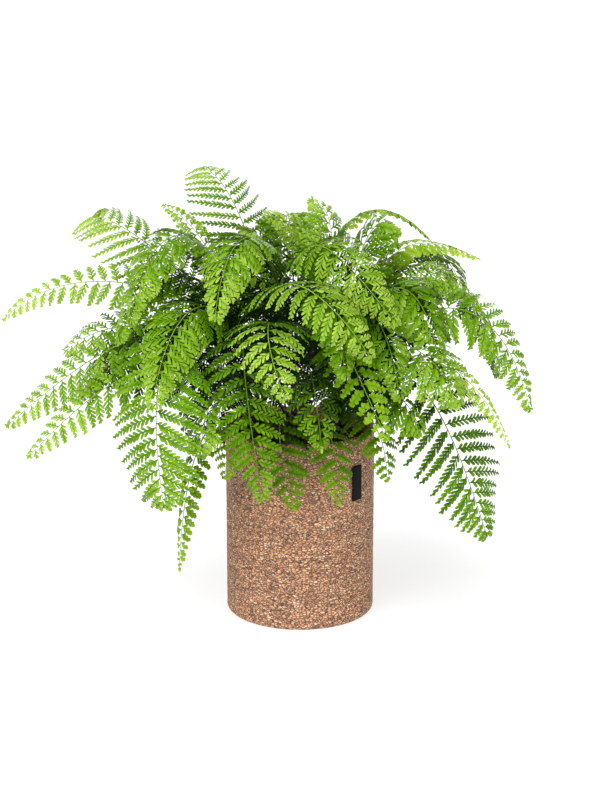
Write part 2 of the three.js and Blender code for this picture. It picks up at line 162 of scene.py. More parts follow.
# Fine fronds within the plant are darker by this much, as painted shade in its heart
PALER_WITHIN = -0.06
DARK_TO = {5: 0.85, 6: 0.5, 7: 0.75, 8: 0.6}
DARK_TO_USUAL = {"fine": 0.42, "broad": 0.3, "young": 0.15}
# Fronds whose leaflets differ from those of their kind, by their number
LIVING = {
    **dict.fromkeys((1, 2, 16, 17), dict(spacing=16.8, step=6, lobe=9.8, wide=3.3)),
    **dict.fromkeys((4, 26, 27), dict(spacing=16, step=6.2, lobe=10.6, wide=3.8)),
    **dict.fromkeys((7, 31, 35, 41), dict(wide=3.8)),
    **dict.fromkeys((10, 21), dict(lobe=9.5, wide=4)),
    3: dict(spacing=19, step=7, lobe=9.5, wide=7),
    5: dict(spacing=15.5, step=5.6, lobe=8.4, wide=3.4),
    6: dict(spacing=15.5, step=5.6, lobe=7.6, wide=3.4),
    18: dict(spacing=17, step=6, lobe=10, wide=4.2),
    19: dict(spacing=15, step=6, lobe=10.8, wide=3.7),
    23: dict(wide=4),
    28: dict(spacing=15.4, step=6.2, lobe=9.8, wide=4.2),
    29: dict(spacing=13, step=5.8, lobe=9, wide=4.6),
}
# From the first number on fine fronds stand within the plant, and from the second behind it; both are fuller
WITHIN = 30
BEHIND = 44
# How many more leaflets a frond has than its spacing gives, and how much longer and wider fuller lobes are
MORE_LEAFLETS = 1.08
MORE_WITHIN = 1.2
LOBE_WITHIN = 1.12
WIDE_WITHIN = 1.16
WIDE_BEHIND = 1.28
# A leaflet's angle to the rib at the blade's foot and at its tip, in degrees, and how far a lobe droops
SPLAY_FOOT = 86
SPLAY_TIP = 62
LOBE_DROOP = 0.16
# The rings and sides of a frond's rib and of its stalk
RIB_RINGS = 30
RIB_SIDES = 6
STALK_RINGS = 16
STALK_SIDES = 8
# How wide a leaflet is where it covers others, how far off it still covers in full, and how strongly the
# shade painted under cover darkens each kind
COVER_WIDTH = 9
COVER_NEAR = 18
SHADE = {"fine": 1.2, "broad": 0.5, "young": 0.9}
# The shares of its length that a leaflet of a solid may be cut back to
TRIMS = np.array((1, 0.75, 0.5, 0.3, 0.16))


def back_rows():
    """The back's rows: tips at even turns round each ring, spread by the multiplying draws of the solids."""
    state = SEED

    def around(spread):
        """The next draw, even between minus and plus the spread."""
        nonlocal state
        state = (state * 16807) % 2147483647
        return (state / 2147483647 * 2 - 1) * spread

    rows = []
    for ring in BACK_RINGS:
        for i in range(ring["count"]):
            share = i / (ring["count"] - 1)
            turn = math.radians(ring["start"] + (ring["end"] - ring["start"]) * share + around(TURN_SPREAD))
            reach = ring["reach"] * (1 + around(REACH_SPREAD))
            drop = around(HEIGHT_SPREAD)
            crown = ring["crown"][min(len(ring["crown"]) - 1, int(share * len(ring["crown"])))]
            tip = (reach * math.cos(turn), reach * math.sin(turn), ring["tip"] + drop)
            rows.append((crown, tip, ring["crest"] + drop, dict(roll=around(12))))
    return rows


# Curves and frames


def unit(vectors):
    """Each vector over its own length."""
    return vectors / np.linalg.norm(vectors, axis=-1, keepdims=True)


def ease(value, low, high):
    """0 below low, 1 above high, and between them three squares less two cubes of the way."""
    way = np.clip((value - low) / (high - low), 0, 1)
    return way * way * (3 - 2 * way)


def bezier(points, t):
    """The cubic through its first and last point, pulled by the two between."""
    t = np.asarray(t)[..., None]
    return (
        (1 - t) ** 3 * points[0]
        + 3 * (1 - t) ** 2 * t * points[1]
        + 3 * (1 - t) * t**2 * points[2]
        + t**3 * points[3]
    )


def frond_line(row, swing, lift):
    """A frond's cubic from its crown over its crest to its tip, the tip swung and the crest lifted.

    The pulls stand at the shares lean and hang of the reach, at the height that takes the middle to the
    crest. The swing is in degrees round the crown, and the tip rises by half of the lift.
    """
    crown, tip, crest, changes = row
    made = SimpleNamespace(**{**USUAL, **changes}, crown=crown)
    centre = np.array((*CROWNS[crown], 0.0))
    arm = np.array(tip, float) - centre
    turn = math.radians(swing)
    arm[:2] = (
        arm[0] * math.cos(turn) - arm[1] * math.sin(turn),
        arm[0] * math.sin(turn) + arm[1] * math.cos(turn),
    )
    end = centre + arm + (0, 0, lift / 2)
    out = np.array((end[0] - centre[0], end[1] - centre[1], 0.0))
    heading = unit(out)
    start = centre + heading * STIPE_START
    start[2] = SOIL_TOP + STIPE_SINK
    rise = (crest + lift - (start[2] + end[2]) / 8) / 0.75
    made.side = np.array((-heading[1], heading[0], 0.0))
    near = start + out * made.lean + made.side * made.bow / 2
    far = start + out * made.hang + made.side * made.bow
    near[2] = far[2] = rise
    made.points = np.array((start, near, far, end))
    made.t = np.linspace(0, 1, 201)
    steps = np.linalg.norm(np.diff(bezier(made.points, made.t), axis=0), axis=1)
    made.run = np.concatenate(((0,), np.cumsum(steps)))
    made.length = made.run[-1]
    made.cut = SimpleNamespace(**KINDS[made.kind])
    made.foot = made.cut.share + GAP / made.length
    made.pairs = max(5, math.floor(made.length * (1 - made.cut.share) / made.cut.pitch + 0.5))
    return made


def frames(frond, share):
    """Place, forward, sideways and upward at shares of a frond's length. The roll eases in up to half way."""
    t = np.interp(np.asarray(share) * frond.length, frond.run, frond.t)
    place = bezier(frond.points, t)
    forward = unit(bezier(frond.points, np.minimum(t + 1e-4, 1)) - bezier(frond.points, t - 1e-4))
    flat = unit(frond.side - (forward @ frond.side)[..., None] * forward)
    roll = (math.radians(frond.roll) * ease(np.asarray(share), 0, 0.5))[..., None]
    side = flat * np.cos(roll) + np.cross(forward, flat) * np.sin(roll)
    return place, forward, side, np.cross(forward, side)


def leaflet_share(along, taper):
    """A leaflet's length over the longest: it eases up from the blade's foot and falls away to the tip."""
    return (0.45 + 0.55 * ease(along, 0, 0.35)) * (1 - along**taper) + 0.1


def leaflet_axes(frond, along, hand):
    """Place, forward, direction outward and a leaflet's own upward at places along the blade, on either hand.

    The direction's angle to the rib falls evenly from the foot to the tip, in a plane folded a little.
    """
    place, forward, side, up = frames(frond, frond.foot + (1 - frond.foot) * along)
    sign = hand[..., None]
    fold = math.radians(frond.fold)
    splay = np.radians(SPLAY_FOOT - (SPLAY_FOOT - SPLAY_TIP) * along)[..., None]
    outward = side * sign * math.cos(fold) + up * math.sin(fold)
    direction = outward * np.sin(splay) + forward * np.cos(splay)
    lean = up * math.cos(fold) - side * sign * math.sin(fold)
    return place, forward, direction, lean


def nearest(places, cloud):
    """Each place's distance to the nearest point of a cloud."""
    return np.linalg.norm(places[..., None, :] - cloud, axis=-1).min(axis=-1)


def node_cloud(node):
    """A solid's corners, in millimetres."""
    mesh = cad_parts[node].data
    corners = np.empty(len(mesh.vertices) * 3, np.float32)
    mesh.vertices.foreach_get("co", corners)
    return corners.reshape(-1, 3) * 1000.0


def stations(frond):
    """The places on the rib between the solid's pairs of leaflets, and those at both ends."""
    shares = frond.foot + (1 - frond.foot) * np.arange(frond.pairs + 1) / frond.pairs
    return frames(frond, shares)[0]


def bent_like_solid(row, node):
    """The frond in the bend, and with the leaflets cut back, that lie nearest to the corners of its solid."""
    cloud = node_cloud(node)

    def miss(bend):
        """How far the blade's line, in a bend, runs from the solid's corners, on the whole."""
        return nearest(stations(frond_line(row, *bend)), cloud).mean()

    frond = frond_line(row, *min(((swing, lift) for swing in SWINGS for lift in LIFTS), key=miss))
    ends = stations(frond)
    roots = np.repeat((ends[1:] + ends[:-1]) / 2, 2, axis=0)
    along = np.repeat((np.arange(frond.pairs) + 0.5) / frond.pairs, 2)
    hand = np.tile((1.0, -1.0), frond.pairs)
    _, _, direction, lean = leaflet_axes(frond, along, hand)
    longest = frond.cut.leaflet * frond.width
    reach = (longest * leaflet_share(along, frond.taper))[:, None, None] * TRIMS[:, None]
    points = roots[:, None] + (direction - 0.1 * lean)[:, None] * reach
    frond.trims = TRIMS[nearest(points, cloud).argmin(axis=1)].reshape(-1, 2)
    return frond


# Meshes


def linked(name, data):
    """An object of a mesh, a light or a camera, linked to the scene."""
    made = bpy.data.objects.new(name, data)
    bpy.context.scene.collection.objects.link(made)
    return made


def new_piece(name, corners, triangles, material, node, slot, smooth=False, **values):
    """One object at the origin from corners in millimetres and triangles, with values at its corners."""
    mesh = bpy.data.meshes.new(name)
    mesh.vertices.add(len(corners))
    mesh.vertices.foreach_set("co", (np.asarray(corners, np.float32) / 1000).ravel())
    mesh.loops.add(triangles.size)
    mesh.loops.foreach_set("vertex_index", triangles.astype(np.int32).ravel())
    mesh.polygons.add(len(triangles))
    mesh.polygons.foreach_set("loop_start", np.arange(0, triangles.size, 3, dtype=np.int32))
    smooth = np.broadcast_to(np.asarray(smooth, bool), len(triangles))
    mesh.polygons.foreach_set("use_smooth", smooth.copy())
    for key, value in values.items():
        data = mesh.attributes.new(key, "FLOAT", "POINT").data
        data.foreach_set("value", np.asarray(value, np.float32))
    mesh.update(calc_edges=True)
    mesh.materials.append(material)
    piece = linked(name, mesh)
    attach(piece, "root")
    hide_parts(node)
    return piece


def turns(sides):
    """Even turns once round."""
    return 2 * np.pi * np.arange(sides) / sides


def round_places(radius, angle, height):
    """Places at a distance from the axis, an angle and a height."""
    return np.stack((radius * np.cos(angle), radius * np.sin(angle), height), -1)


def halved(a, b, c, d):
    """Faces of four corners, each as two triangles."""
    return np.concatenate((np.stack((a, b, c), -1).reshape(-1, 3), np.stack((a, c, d), -1).reshape(-1, 3)))


def round_wall(rings, sides):
    """Triangles between rings of corners, each ring joined to the next round all its sides."""
    ring = np.arange(rings - 1)[:, None] * sides
    side = np.arange(sides)
    after = (side + 1) % sides
    return halved(ring + side, ring + after, ring + sides + after, ring + sides + side)


def tube_triangles(rings, sides, lines=1):
    """Triangles of tubes, all alike: the wall of one and a fan over each end, once for every line."""
    fan = np.arange(1, sides - 1)
    first = np.stack((fan * 0, fan + 1, fan), -1)
    last = np.stack((fan * 0, fan, fan + 1), -1) + (rings - 1) * sides
    one = np.concatenate((round_wall(rings, sides), first, last))
    return (np.arange(lines)[:, None, None] * rings * sides + one).reshape(-1, 3)


def tubes(path, forward, upward, wide, high, sides):
    """Rings of an oval section round lines of places: across by wide, upward by high."""
    across = np.cross(forward, upward)
    turn = turns(sides)
    corners = (
        path[..., None, :]
        + across[..., None, :] * (wide[..., None] * np.cos(turn))[..., None]
        + upward[..., None, :] * (high[..., None] * np.sin(turn))[..., None]
    )
    return corners


# Leaf lobes: an outline of (along, across) points, two points on the lobe's own rib, and the numbers of the
# outline's points between which the rib's outer point is the nearer one
STRAP = (
    (
        (0, -0.28), (0.36, -0.42), (0.68, -0.5), (0.9, -0.32),
        (1, 0.02),
        (0.88, 0.36), (0.66, 0.5), (0.36, 0.4), (0, 0.28),
    ),
    ((0.34, 0), (0.7, 0)),
    (2, 6),
)
FAN = (
    (
        (0, -0.2), (0.34, -0.3), (0.64, -0.5), (0.86, -0.46), (0.82, -0.24), (0.98, -0.18),
        (0.9, 0),
        (1, 0.18), (0.82, 0.26), (0.88, 0.46), (0.64, 0.5), (0.34, 0.3), (0, 0.2),
    ),
    ((0.3, 0), (0.72, 0)),
    (2, 10),
)


def lobe_template(shape, thick):
    """A closed lobe: its outline, and its rib's two points raised and sunk by half of thick."""
    outline, rib, (turn, back) = shape
    count = len(outline)
    flat = np.array((*outline, *rib, *rib), float)
    height = np.concatenate((np.zeros(count), np.full(2, 0.5), np.full(2, -0.5))) * thick
    triangles = []
    for i in range(count):
        near = count + (1 if turn <= i < back else 0)
        triangles.append((i, (i + 1) % count, near))
    triangles.append((turn, count + 1, count))
    triangles.append((back, count, count + 1))
    upper = np.array(triangles)
    lower = np.where(upper >= count, upper + 2, upper)[:, ::-1]
    return flat[:, 0], flat[:, 1], height, np.concatenate((upper, lower))


def lobes(origin, direction, normal, length, width, template):
    """Copies of a lobe, each at an origin, out along a direction, drooping by the square of the way out."""
    along, across, height, triangles = template
    sideways = np.cross(normal, direction)
    reach = along * length[:, None]
    corners = (
        origin[:, None]
        + direction[:, None] * reach[..., None]
        + sideways[:, None] * (across * width[:, None])[..., None]
        + normal[:, None] * (height - LOBE_DROOP * reach * along)[..., None]
    )
    count = len(along)
    first = np.arange(len(origin))[:, None, None] * count
    return corners.reshape(-1, 3), (first + triangles).reshape(-1, 3)


STRAP_LOBE = lobe_template(STRAP, 0.5)
FAN_LOBE = lobe_template(FAN, 0.6)


def turned_about(vector, axis, angle):
    """A vector turned about an axis at right angles to it."""
    return vector * np.cos(angle) + np.cross(axis, vector) * np.sin(angle)


def leaflets(frond, rng):
    """All the leaflets of a frond: places, and the frame of each, with its reach.

    They stand in pairs that alternate a little and close up toward the tip, by a power of the way left.
    Each is as long as the solid's leaflet there, on its hand.
    """
    cut = frond.cut
    more = MORE_WITHIN if frond.full else MORE_LEAFLETS
    count = round(frond.length * (1 - frond.foot) / cut.spacing * more)
    along = 1 - (1 - ((np.arange(count)[:, None] + (0.3, 0.7)) / count).ravel()) ** 1.3
    hand = np.tile((1.0, -1.0), count)
    place, forward, direction, lean = leaflet_axes(frond, along, hand)
    number = np.minimum((along * frond.pairs).astype(int), frond.pairs - 1)
    trim = frond.trims[number, (hand < 0).astype(int)] ** 0.6
    reach = cut.leaflet * frond.width * leaflet_share(along, frond.taper) * trim
    reach = reach * rng.uniform(0.94, 1.04, len(along))
    turn = rng.normal(0, math.radians(4), len(along))[:, None]
    direction = turned_about(direction, lean, turn)
    return SimpleNamespace(
        along=along,
        hand=hand,
        place=place,
        forward=forward,
        direction=direction,
        lean=lean,
        reach=reach,
        droop=rng.uniform(0.2, 1.3, len(along)) * 0.1,
        arch=rng.uniform(0.25, 0.5, len(along)) * (0.5 if frond.kind == "broad" else 1),
        twist=rng.normal(0, math.radians(9), len(along)),
    )


def leaflet_curve(leaf, s):
    """Place, tangent and normal at shares s of each leaflet, which arches low, droops and sweeps forward.

    The arch rises by the way times the way left, and the droop and the sweep grow by the way squared.
    """
    s = s[..., None]
    reach = leaf.reach[:, None, None]
    direction = leaf.direction[:, None]
    forward = leaf.forward[:, None]
    lean = leaf.lean[:, None]
    droop = leaf.droop[:, None, None]
    arch = leaf.arch[:, None, None]
    rise = arch * s * (1 - s) - droop * s**2
    place = leaf.place[:, None] + reach * (direction * s + forward * 0.14 * s**2 + lean * rise)
    tangent = unit(direction + forward * 0.28 * s + lean * (arch * (1 - 2 * s) - 2 * droop * s))
    normal = unit(lean - (lean * tangent).sum(-1, keepdims=True) * tangent)
    return place, tangent, turned_about(normal, tangent, leaf.twist[:, None, None] * ease(s, 0, 1))


def painted_cover_shade(leaves):
    """Painted shade: how far each leaflet of each frond lies under others, one less e to the minus of nearly
    all its cover.

    Another leaflet covers by its area over pi times the distance squared, which has a least value, times the
    squared cosine of its direction to the open side, upward and away from the middle of the plant.
    """
    centre = np.concatenate([leaf.place + 0.5 * leaf.reach[:, None] * leaf.direction for leaf in leaves])
    area = np.concatenate([leaf.reach * COVER_WIDTH for leaf in leaves])
    away = centre * (1, 1, 0) / 150
    open_side = unit(away * 0.6 + (0, -0.2, 1))
    covered = []
    for own, side in zip(np.array_split(centre, 40), np.array_split(open_side, 40)):
        gap = centre - own[:, None]
        square = (gap**2).sum(-1) + COVER_NEAR**2
        cosine = np.maximum((gap * side[:, None]).sum(-1) / np.sqrt(square), 0)
        covered.append((area * cosine**2 / (np.pi * square)).sum(-1))
    # The cover becomes a share of darkness that is painted into the leaves' colour
    shade = 1 - np.exp(-0.9 * np.concatenate(covered))
    return np.split(shade, np.cumsum([len(leaf.reach) for leaf in leaves])[:-1])


def blade_rib(number, frond, leaf, shade, base_tone):
    """The rib, round and tapering, near-black at its foot and green further out by an eased share."""
    share = np.linspace(0, 1, RIB_RINGS)
    place, forward, _, up = frames(frond, frond.foot + (1 - frond.foot) * share)
    radius = (1.15 - 0.8 * share) * (0.8 if frond.kind == "young" else 1)
    rib = tubes(place, forward, up, radius, radius, RIB_SIDES)
    dark_to = DARK_TO.get(number, DARK_TO_USUAL[frond.kind])
    dark = np.repeat(1 - ease(share, dark_to * 0.35, dark_to), RIB_SIDES)
    # Painted shade: the rib is darkened by the shade painted on the leaflets beside it
    tone = np.repeat(base_tone + 0.1 - np.interp(share, leaf.along[::2], shade[::2]), RIB_SIDES)
    return rib.reshape(-1, 3), tube_triangles(RIB_RINGS, RIB_SIDES), True, tone, dark


def leaflet_ribs(frond, leaf, shade, base_tone):
    """Along each leaflet a flat rib with a narrow wing, widening at its root and narrowing to its end."""
    rings, sides = 6, 4
    s = np.broadcast_to(np.linspace(0, 0.97, rings), (len(leaf.along), rings))
    place, tangent, normal = leaflet_curve(leaf, s)
    size = (1.15 if frond.kind != "young" else 0.8) * (1 - 0.45 * s)
    size = size * (0.4 + 0.6 * np.minimum(leaf.reach / 40, 1))[:, None]
    size = size * (0.6 + 0.4 * ease(s, 0, 0.25))
    ribs = tubes(place, tangent, normal, size, size * 0.3, sides)
    # Painted shade: each leaflet's rib is darker than its lobes, as shade in the crease, and darker again
    # under cover
    tone = np.repeat(base_tone - 0.1 - shade, rings * sides)
    foot_dark = 0.7 * (1 - ease(leaf.along, 0.02, 0.3)) * (frond.kind != "young")
    dark = (foot_dark[:, None, None] * (1 - ease(s, 0.1, 0.5))[..., None] * np.ones(sides)).ravel()
    return ribs.reshape(-1, 3), tube_triangles(rings, sides, len(leaf.along)), True, tone, dark


def plain_part(corners, triangles, smooth, tone):
    """A part that is dark nowhere."""
    return corners, triangles, smooth, tone, np.zeros(len(tone))


def side_lobes(frond, leaf, look, hand, rng):
    """The lobes on one side of every leaflet's rib, evenly spaced, leaning forward more toward its end.

    They grow shorter by an eased share of the way out, and the ones ahead, at the root, are the widest.
    """
    cut = frond.cut
    order = np.arange(look.count.max())
    s = (order + 0.72 - 0.2 * hand) / (look.count[:, None] + 0.3)
    used = ((order < look.count[:, None]) & ~look.simple[:, None]).ravel()
    place, tangent, normal = leaflet_curve(leaf, s)
    across = np.cross(normal, tangent)
    ahead = ((across * leaf.forward[:, None]).sum(-1) * hand > 0).astype(float)
    angle = np.radians(cut.angle + rng.normal(0, 4, s.shape)) * (1 - 0.4 * s)
    direction = tangent * np.cos(angle)[..., None] + across * (hand * np.sin(angle))[..., None]
    taper = (0.8 + 0.2 * ease(s, 0, 0.2)) * (1 - 0.5 * ease(s, 0.4, 1.1))
    length = look.lobe * taper * look.small * (1 + 0.1 * ahead) * rng.uniform(0.9, 1.08, s.shape)
    width = look.wide * (0.6 + 0.4 * look.small) * (1 - 0.2 * ease(s, 0.5, 1))
    width = width * rng.uniform(0.88, 1.1, s.shape)
    width = width * (1 + 0.5 * ahead * (1 - ease(s, 0, 0.16)))
    tilt = rng.normal(0, math.radians(8), s.shape)[..., None]
    face = unit(turned_about(normal, direction, tilt))
    origin, outward, upward = (vectors.reshape(-1, 3)[used] for vectors in (place, direction, face))
    length, width = length.ravel()[used], width.ravel()[used]
    tone = look.base_tone + look.leaf_tone[:, None] + 0.2 * ease(leaf.along, 0.6, 1)[:, None] + 0.06 * s
    tone = tone + rng.normal(0, 0.03, s.shape)
    # Painted shade: each lobe is darker at its root by the rib and paler toward its tip
    tones = (tone.ravel()[used][:, None] + 0.3 * (look.template[0] - 0.55)).ravel()
    return plain_part(*lobes(origin, outward, upward, length, width, look.template), False, tones)


def end_lobes(frond, leaf, look):
    """One lobe at the end of each leaflet, and in place of each that is too short for lobes at its sides."""
    cut = frond.cut
    start = np.where(look.simple, 0.02, 0.9)[:, None]
    place, tangent, normal = leaflet_curve(leaf, start)
    last = look.lobe * 0.62 * np.clip(leaf.reach / (0.55 * cut.leaflet), 0.4, 1)
    length = np.where(look.simple, leaf.reach * 1.1, last)
    width = cut.wide * np.where(look.simple, np.clip(leaf.reach / cut.lobe, 0.75, 1.1), 1)
    # Painted shade: each lobe is darker at its root and paler toward its tip
    tones = ((look.base_tone + look.leaf_tone + 0.08)[:, None] + 0.2 * (look.template[0] - 0.5)).ravel()
    meshes = lobes(place[:, 0], tangent[:, 0], normal[:, 0], length, width, look.template)
    return plain_part(*meshes, False, tones)


def tip_lobe(frond, look):
    """The frond's own tip, a lobe on the rib's end."""
    place, forward, _, up = frames(frond, np.array([0.985]))
    length, width = np.array([[frond.cut.lobe * 0.9], [frond.cut.wide * 1.1]])
    tones = np.full(len(look.template[0]), look.base_tone + 0.2)
    return plain_part(*lobes(place, forward, up, length, width, look.template), False, tones)


def blade_parts(number, frond, leaf, covered, rng):
    """A whole blade in parts of corners, triangles, smoothness, tone and darkness.

    Short leaflets have smaller lobes that stand closer, by powers of their reach over the usual one.
    """
    cut = frond.cut
    wider = (WIDE_BEHIND if number >= BEHIND else WIDE_WITHIN) if frond.full else 1
    look = SimpleNamespace(lobe=cut.lobe * (LOBE_WITHIN if frond.full else 1), wide=cut.wide * wider)
    look.base_tone = cut.tone + PALER.get(number, PALER_WITHIN if frond.full else 0) + rng.normal(0, 0.06)
    look.template = FAN_LOBE if frond.kind == "broad" else STRAP_LOBE
    small = np.clip(leaf.reach / (0.6 * cut.leaflet), 0.4, 1)
    step = cut.step * small**0.45
    look.small = small[:, None] ** 0.6
    look.count = np.maximum(np.round(leaf.reach / step).astype(int), 2)
    look.simple = leaf.reach < 1.7 * step
    # Painted shade: each leaflet is darkened by how far it lies under others
    shade = SHADE[frond.kind] * covered**1.3
    look.leaf_tone = rng.normal(0, 0.06, len(leaf.along)) - shade
    return [
        blade_rib(number, frond, leaf, shade, look.base_tone),
        leaflet_ribs(frond, leaf, shade, look.base_tone),
        side_lobes(frond, leaf, look, 1, rng),
        side_lobes(frond, leaf, look, -1, rng),
        end_lobes(frond, leaf, look),
        tip_lobe(frond, look),
    ]


def joined(parts):
    """Parts as one: corners end to end, and each part's triangles moved up by the corners before it."""
    corners = np.concatenate([p[0] for p in parts])
    before = np.cumsum([0] + [len(p[0]) for p in parts[:-1]])
    triangles = np.concatenate([p[1] + start for p, start in zip(parts, before)])
    smooth = np.concatenate([np.full(len(p[1]), p[2]) for p in parts])
    tone = np.concatenate([p[3] for p in parts])
    dark = np.concatenate([p[4] for p in parts])
    return corners, triangles, smooth, tone, dark


# Materials


def new_material(name):
    """An empty node material, and two functions: one adds a node to it and the other a colour ramp."""
    material = bpy.data.materials.new(name)
    material.use_nodes = True
    tree = material.node_tree
    tree.nodes.clear()

    def add(kind, inputs=None, **settings):
        """A node with its settings, and each input linked or given its value."""
        node = tree.nodes.new("ShaderNode" + kind)
        for key, value in settings.items():
            setattr(node, key, value)
        for key, value in (inputs or {}).items():
            if isinstance(value, bpy.types.NodeSocket):
                tree.links.new(value, node.inputs[key])
            else:
                node.inputs[key].default_value = value
        return node

    def ramp(value, *stops):
        """The colour that a value has between stops of a place and a colour."""
        node = add("ValToRGB", {"Fac": value})
        elements = node.color_ramp.elements
        while len(elements) < len(stops):
            elements.new(0.5)
        for element, (at, colour) in zip(elements, stops):
            element.position = at
            element.color = (*colour, 1)
        return node.outputs["Color"]

    return material, add, ramp


def mixed(add, factor, first, second, blend="MIX"):
    """Two colours, mixed by a factor."""
    node = add("Mix", data_type="RGBA", blend_type=blend)
    tree = node.id_data
    for index, value in ((0, factor), (6, first), (7, second)):
        if isinstance(value, bpy.types.NodeSocket):
            tree.links.new(value, node.inputs[index])
        else:
            node.inputs[index].default_value = value if index == 0 else (*value, 1)
    return node.outputs[2]


def noise(add, places, scale, detail, roughness=0.5, output="Fac"):
    """A noise over places, by its scale, its detail and how rough the detail is."""
    inputs = {"Vector": places, "Scale": scale, "Detail": detail, "Roughness": roughness}
    return add("TexNoise", inputs).outputs[output]


def surface_of(add, colour, roughness, specular, bump, sheen=(1, 1, 1, 1)):
    """A surface by its colour, its roughness, the level and tint of its shine, and its bumps."""
    inputs = {"Base Color": colour, "Roughness": roughness, "Specular IOR Level": specular}
    return add("BsdfPrincipled", {**inputs, "Specular Tint": sheen, "Normal": bump.outputs[0]}).outputs[0]


DARK_RIB = (0.014, 0.009, 0.006)
LEAF_SHEEN = (0.85, 1, 0.5, 1)
LIT_THROUGH = (0.36, 0.56, 0.0)


def leaf_material(name, deep, middle, pale, roughness):
    """Leaf: green by the tone of each corner, mottled by noise, near-black on dark ribs, and lit through."""
    material, add, ramp = new_material(name)
    places = add("TexCoord").outputs["Object"]
    # The tone holds each leaf's own green and also the shade painted under cover and at the ribs
    tone = add("Attribute", attribute_name="tone").outputs["Fac"]
    dark = add("Attribute", attribute_name="dark").outputs["Fac"]
    mottle = noise(add, places, 90, 3)
    speck = noise(add, places, 900, 2)
    shifted = add("Math", {0: mottle, 1: 0.34, 2: tone}, operation="MULTIPLY_ADD").outputs[0]
    value = add("Math", {0: shifted, 1: 0.17}, operation="SUBTRACT").outputs[0]
    green = ramp(value, (0.0, deep), (0.45, middle), (0.95, pale))
    colour = mixed(add, dark, green, DARK_RIB)
    bump = add("Bump", {"Height": speck, "Strength": 0.25, "Distance": 0.0004})
    surface = surface_of(add, colour, roughness, 0.14, bump, LEAF_SHEEN)
    glow = mixed(add, 0.3, colour, LIT_THROUGH)
    through = add("BsdfTranslucent", {"Color": glow, "Normal": bump.outputs[0]})
    both = add("MixShader", {0: 0.16, 1: surface, 2: through.outputs[0]})
    add("OutputMaterial", {"Surface": both.outputs[0]})
    return material


def stone_material():
    """Stone chips: flat cells in tans and browns with dark joints, and finer grit over them, in relief."""
    material, add, ramp = new_material("stone chips")
    places = add("TexCoord").outputs["Object"]
    bent = noise(add, places, 120, 2, output="Color")
    moved = add("VectorMath", {0: bent, 1: (0.004, 0.004, 0.002)}, operation="MULTIPLY").outputs[0]
    warped = add("VectorMath", {0: places, 1: moved}, operation="ADD").outputs[0]
    flat = add("Mapping", {"Vector": warped, "Scale": (1, 1, 2.2)}).outputs[0]
    cells = {"Vector": flat, "Scale": 210.0, "Randomness": 1.0}
    chips = add("TexVoronoi", cells)
    edges = add("TexVoronoi", cells, feature="DISTANCE_TO_EDGE")
    grit = noise(add, flat, 620, 4, 0.7)
    streak = add("Mapping", {"Vector": places, "Scale": (1, 1, 4)}).outputs[0]
    cloud = noise(add, streak, 26, 3)
    pick = add("SeparateColor", {"Color": chips.outputs["Color"]}).outputs[0]
    tans = ramp(
        pick,
        (0.0, (0.37, 0.21, 0.14)),
        (0.25, (0.63, 0.3, 0.155)),
        (0.5, (0.82, 0.46, 0.26)),
        (0.75, (0.9, 0.45, 0.22)),
        (1.0, (0.98, 0.72, 0.5)),
    )
    joint = ramp(edges.outputs["Distance"], (0.035, (0, 0, 0)), (0.18, (1, 1, 1)))
    joint_value = add("RGBToBW", {"Color": joint}).outputs[0]
    jointed = mixed(add, joint_value, (0.085, 0.052, 0.042), tans)
    grains = ramp(grit, (0.36, (0.25, 0.21, 0.19)), (0.56, (1, 1, 1)))
    gritty = mixed(add, 0.35, jointed, grains, "MULTIPLY")
    clouds = ramp(cloud, (0.36, (0.62, 0.6, 0.6)), (0.6, (1.15, 1.12, 1.07)))
    clouded = mixed(add, 0.32, gritty, clouds, "MULTIPLY")
    relief = add("Math", {0: joint_value, 1: grit}, operation="ADD").outputs[0]
    bump = add("Bump", {"Height": relief, "Strength": 0.7, "Distance": 0.0009})
    rough = add("Math", {0: grit, 1: 0.2, 2: 0.66}, operation="MULTIPLY_ADD").outputs[0]
    add("OutputMaterial", {"Surface": surface_of(add, clouded, rough, 0.3, bump)})
    return material


def mottled_material(name, dark, pale, scale, roughness, relief, specular=0.3):
    """A matt finish between two colours, mottled and raised by noise at one scale."""
    material, add, ramp = new_material(name)
    places = add("TexCoord").outputs["Object"]
    mottle = noise(add, places, scale, 5, 0.65)
    tone = add("Attribute", attribute_name="tone").outputs["Fac"]
    value = add("Math", {0: tone, 1: 0.6, 2: mottle}, operation="MULTIPLY_ADD").outputs[0]
    colour = ramp(value, (0.35, dark), (1.0, pale))
    bump = add("Bump", {"Height": mottle, "Strength": 0.6, "Distance": relief})
    add("OutputMaterial", {"Surface": surface_of(add, colour, roughness, specular, bump)})
    return material


LEAF = {
    "fine": leaf_material("fine leaf", (0.006, 0.03, 0.0), (0.112, 0.27, 0.0), (0.4, 0.58, 0.075), 0.42),
    "broad": leaf_material("broad leaf", (0.008, 0.04, 0.0), (0.12, 0.28, 0.0), (0.34, 0.54, 0.03), 0.36),
    "young": leaf_material("young leaf", (0.03, 0.1, 0.0), (0.19, 0.36, 0.0), (0.44, 0.62, 0.06), 0.46),
}
STONE = stone_material()
SOIL = mottled_material("potting soil", (0.006, 0.004, 0.003), (0.07, 0.042, 0.025), 300, 0.95, 0.002)
STALK = mottled_material("stalk", (0.006, 0.004, 0.003), (0.05, 0.026, 0.012), 220, 0.5, 0.0006, 0.4)
PLATE = mottled_material("plain plate", (0.002, 0.002, 0.0022), (0.005, 0.005, 0.0055), 900, 0.6, 0.0001, 0.1)


# The planter


